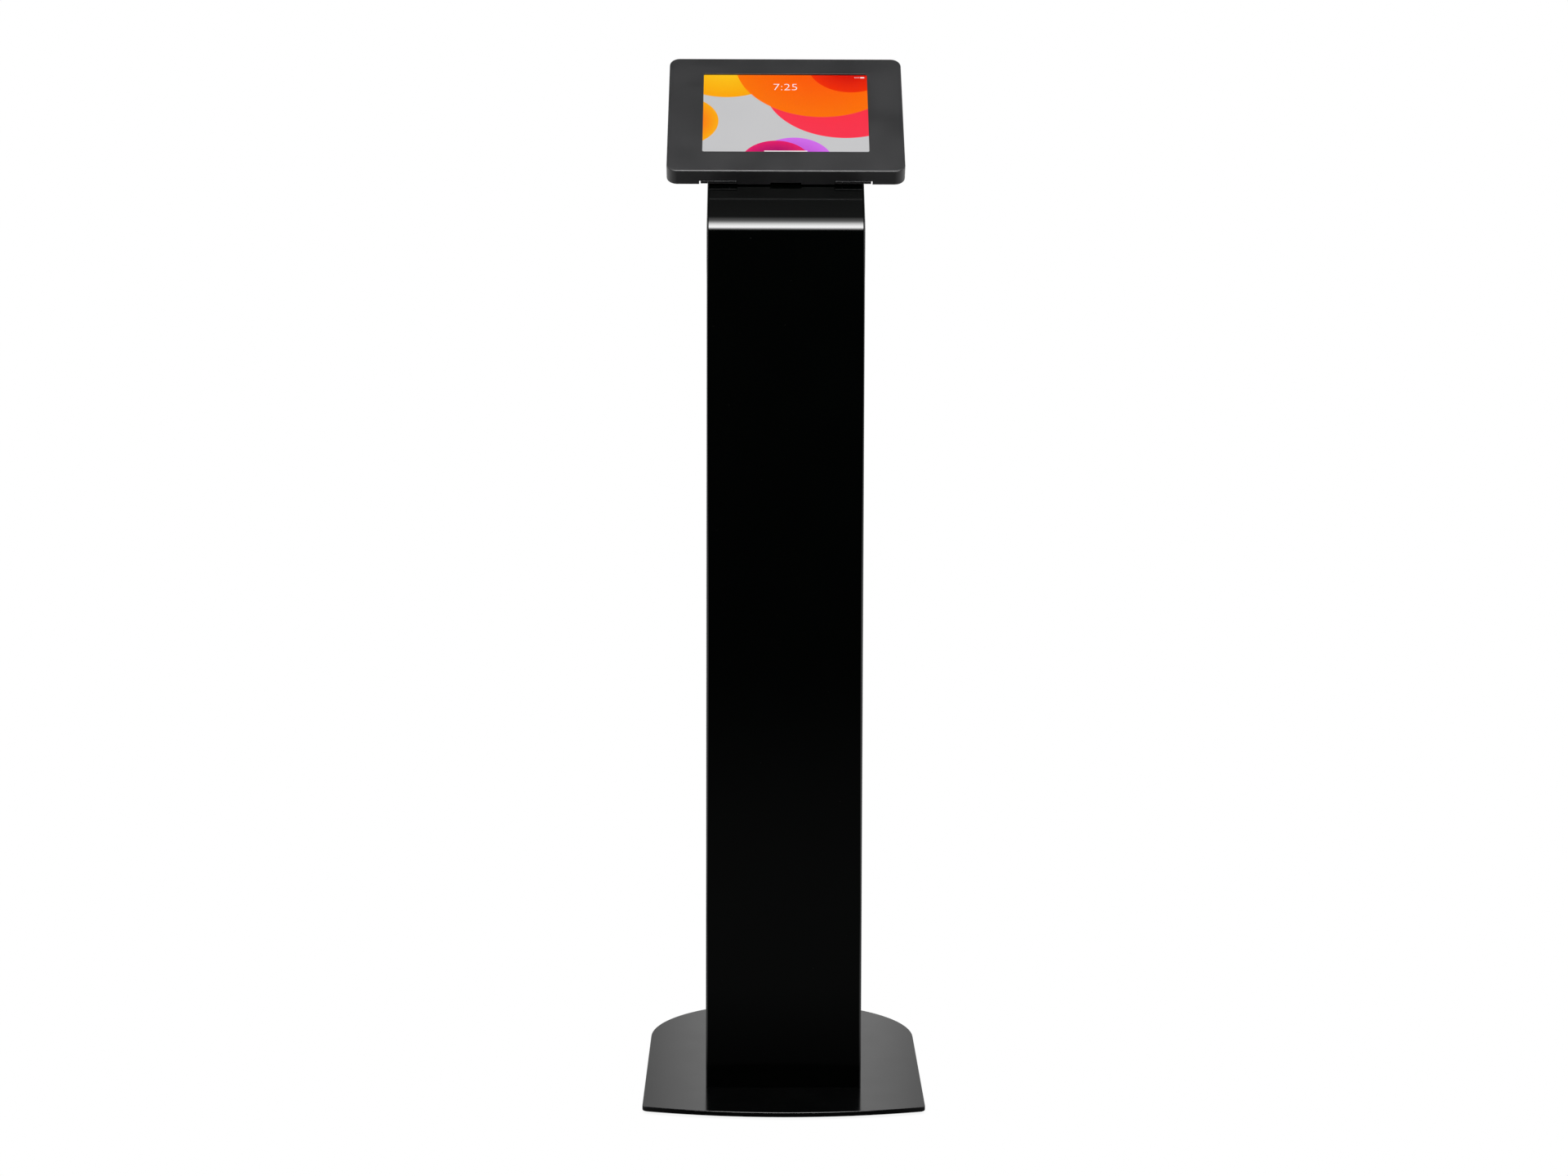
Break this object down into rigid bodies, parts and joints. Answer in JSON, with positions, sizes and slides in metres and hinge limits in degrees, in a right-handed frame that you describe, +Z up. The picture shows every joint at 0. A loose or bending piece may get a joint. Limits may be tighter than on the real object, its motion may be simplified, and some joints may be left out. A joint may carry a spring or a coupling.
{
  "type": "touchscreen kiosk",
  "caption": "Floor-standing touchscreen kiosk: tablet in a locking steel enclosure, tilted on a folded sheet column over a weighted D-shaped foot.",
  "frame": {"origin": "on the floor under the middle of the foot", "axes": "+Z up, -Y towards the user standing in front of the screen, +X to that user's right"},
  "size_m": [0.347, 0.53, 1.2945],
  "materials": {
    "base_steel": "glossy black powder coat on plate steel, faint orange peel",
    "column_steel": "glossy black powder coat on folded sheet steel",
    "head_steel": "satin anthracite powder coat with a fine texture",
    "black_steel": "black oxide steel, satin",
    "zinc": "bright zinc plated steel",
    "lock_metal": "nickel plated lock barrel",
    "rubber": "matt black moulded rubber",
    "nylon": "natural nylon",
    "foam": "closed-cell charcoal foam",
    "tablet_aluminium": "bead-blasted anodised aluminium",
    "tablet_glass": "polished cover glass",
    "screen": null,
    "white_plastic": "semi-gloss white moulded plastic",
    "cable": "soft white cable jacket"
  },
  "bodies": {
    "stand": {"base_plate": "base_steel", "rubber_foot_front_left": "rubber", "rubber_foot_front_right": "rubber", "rubber_foot_rear_left": "rubber", "rubber_foot_rear_right": "rubber", "base_bolt_front_left": "zinc", "base_bolt_front_right": "zinc", "base_bolt_rear_left": "zinc", "base_bolt_rear_right": "zinc", "foot_plate": "black_steel", "column_shell": "column_steel", "neck_cover": "column_steel", "neck_cover_screw_lower_left": "zinc", "neck_cover_screw_lower_right": "zinc", "neck_cover_screw_upper_left": "zinc", "neck_cover_screw_upper_right": "zinc", "door_hinge_pin_half_lower": "black_steel", "door_hinge_pin_half_upper": "black_steel", "power_adapter": "white_plastic", "adapter_strap": "black_steel", "charging_cable_lower": "cable", "friction_washer": "nylon"},
    "head": {"back_tray": "head_steel", "pivot_bush": "zinc", "retaining_ring": "zinc", "ring_screw_1": "zinc", "ring_screw_2": "zinc", "ring_screw_3": "zinc", "turn_stop_pin": "zinc", "cover_hinge_fixed_leaf_left": "black_steel", "cover_hinge_fixed_leaf_right": "black_steel", "cover_hinge_pin_left": "zinc", "cover_hinge_pin_right": "zinc", "foam_retainer_lower_left": "foam", "foam_retainer_lower_right": "foam", "foam_retainer_upper_left": "foam", "foam_retainer_upper_right": "foam", "tablet_body": "tablet_aluminium", "tablet_display": "screen", "tablet_glass": "tablet_glass", "charging_plug": "white_plastic", "charging_cable_upper": "cable"},
    "cover": {"front_cover": "head_steel", "cover_hinge_moving_leaf_left": "black_steel", "cover_hinge_moving_leaf_right": "black_steel", "cover_lock_body": "lock_metal"},
    "cover_key_barrel": {"cover_lock_plug": "lock_metal", "cover_lock_cam": "black_steel"},
    "door": {"rear_door": "column_steel", "door_hinge_leaf_half_lower": "black_steel", "door_hinge_leaf_half_upper": "black_steel", "door_lock_body": "lock_metal", "cable_grommet": "rubber"},
    "door_key_barrel": {"door_lock_plug": "lock_metal", "door_lock_cam": "black_steel"},
    "home_button": {"home_button": "tablet_glass"},
    "sleep_button": {"sleep_button": "tablet_aluminium"},
    "volume_up_button": {"volume_up_button": "tablet_aluminium"},
    "volume_down_button": {"volume_down_button": "tablet_aluminium"}
  },
  "joints": [
    {"name": "head_turn", "type": "hinge", "parent": "stand", "child": "head", "pos_m": [0, -0.01405, 1.20517], "axis": [0, -0.6428, 0.766], "range_deg": [0, 90]},
    {"name": "cover_hinge", "type": "hinge", "parent": "head", "child": "cover", "pos_m": [0, -0.10163, 1.13788], "axis": [1, 0, 0], "range_deg": [0, 90]},
    {"name": "cover_lock_turn", "type": "hinge", "parent": "cover", "child": "cover_key_barrel", "pos_m": [0, 0.06407, 1.28717], "axis": [0, -0.766, -0.6428], "range_deg": [0, 90]},
    {"name": "door_hinge", "type": "hinge", "parent": "stand", "child": "door", "pos_m": [-0.093, -0.0773, 0.55], "axis": [0, 0, 1], "range_deg": [0, 110]},
    {"name": "door_lock_turn", "type": "hinge", "parent": "door", "child": "door_key_barrel", "pos_m": [0.073, -0.0815, 0.62], "axis": [0, -1, 0], "range_deg": [0, 90]},
    {"name": "home_button_press", "type": "slide", "parent": "head", "child": "home_button", "axis": [0, 0.6428, -0.766], "range_m": [0, 0.0003], "stiffness_N_per_m": 400},
    {"name": "sleep_button_press", "type": "slide", "parent": "head", "child": "sleep_button", "axis": [1, 0, 0], "range_m": [0, 0.0003], "stiffness_N_per_m": 400},
    {"name": "volume_up_press", "type": "slide", "parent": "head", "child": "volume_up_button", "axis": [0, -0.766, -0.6428], "range_m": [0, 0.0003], "stiffness_N_per_m": 400},
    {"name": "volume_down_press", "type": "slide", "parent": "head", "child": "volume_down_button", "axis": [0, -0.766, -0.6428], "range_m": [0, 0.0003], "stiffness_N_per_m": 400}
  ]
}
